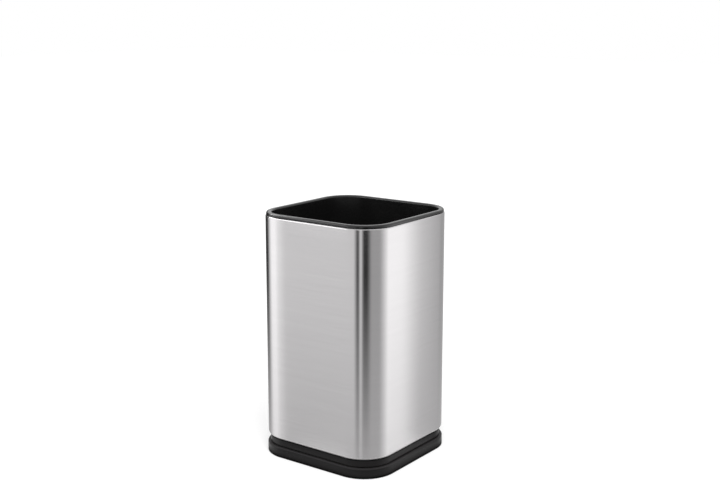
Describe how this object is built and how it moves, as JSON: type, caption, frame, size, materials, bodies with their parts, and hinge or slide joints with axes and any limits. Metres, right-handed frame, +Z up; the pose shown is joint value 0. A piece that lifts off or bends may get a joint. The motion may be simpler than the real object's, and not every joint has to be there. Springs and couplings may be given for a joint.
{
  "type": "utensil holder",
  "caption": "Turning utensil holder: rounded-square brushed steel sleeve with a lift-out black liner on a two-tier black turntable base.",
  "frame": {"origin": "on the worktop under the middle of the holder, on its turning axis", "axes": "+Z up along the turning axis; flat sides face +X, -X, +Y and -Y; the sleeve's seam is at the middle of the +Y side"},
  "size_m": [0.115, 0.115, 0.1931],
  "materials": {
    "brushed_sleeve": "horizontal fine brush, satin",
    "black_plastic": "fine moulded texture, semi-matt",
    "liner_plastic": "smooth semi-matt",
    "foot_rubber": "matt",
    "track_steel": "pressed, lightly oiled",
    "screw_steel": "zinc plated",
    "cage_plastic": "natural nylon",
    "ball_steel": "polished",
    "plate_steel": "zinc grey coat"
  },
  "bodies": {
    "base": {"plinth": "black_plastic", "foot_front_left": "foot_rubber", "foot_front_right": "foot_rubber", "foot_back_left": "foot_rubber", "foot_back_right": "foot_rubber", "lower_track": "track_steel", "lower_track_screws": "screw_steel", "pivot_screw": "screw_steel", "pivot_washer": "screw_steel", "pivot_nut": "screw_steel"},
    "cage": {"ball_cage": "cage_plastic", "bearing_balls": "ball_steel"},
    "holder": {"turning_tray": "black_plastic", "upper_track": "track_steel", "upper_track_screws": "screw_steel", "pivot_bush": "cage_plastic", "weight_plate": "plate_steel", "plate_screws": "screw_steel", "steel_sleeve": "brushed_sleeve"},
    "liner": {"liner": "liner_plastic"}
  },
  "joints": [
    {"name": "holder_spin", "type": "hinge", "parent": "base", "child": "holder", "pos_m": [0, 0, 0.00916], "axis": [0, 0, 1], "continuous": true},
    {"name": "cage_spin", "type": "hinge", "parent": "base", "child": "cage", "pos_m": [0, 0, 0.00598], "axis": [0, 0, 1], "continuous": true},
    {"name": "liner_lift", "type": "slide", "parent": "holder", "child": "liner", "axis": [0, 0, 1], "range_m": [0, 0.18]}
  ],
  "couplings": [
    {"joint": "cage_spin", "follows": "holder_spin", "ratio": 0.5}
  ]
}
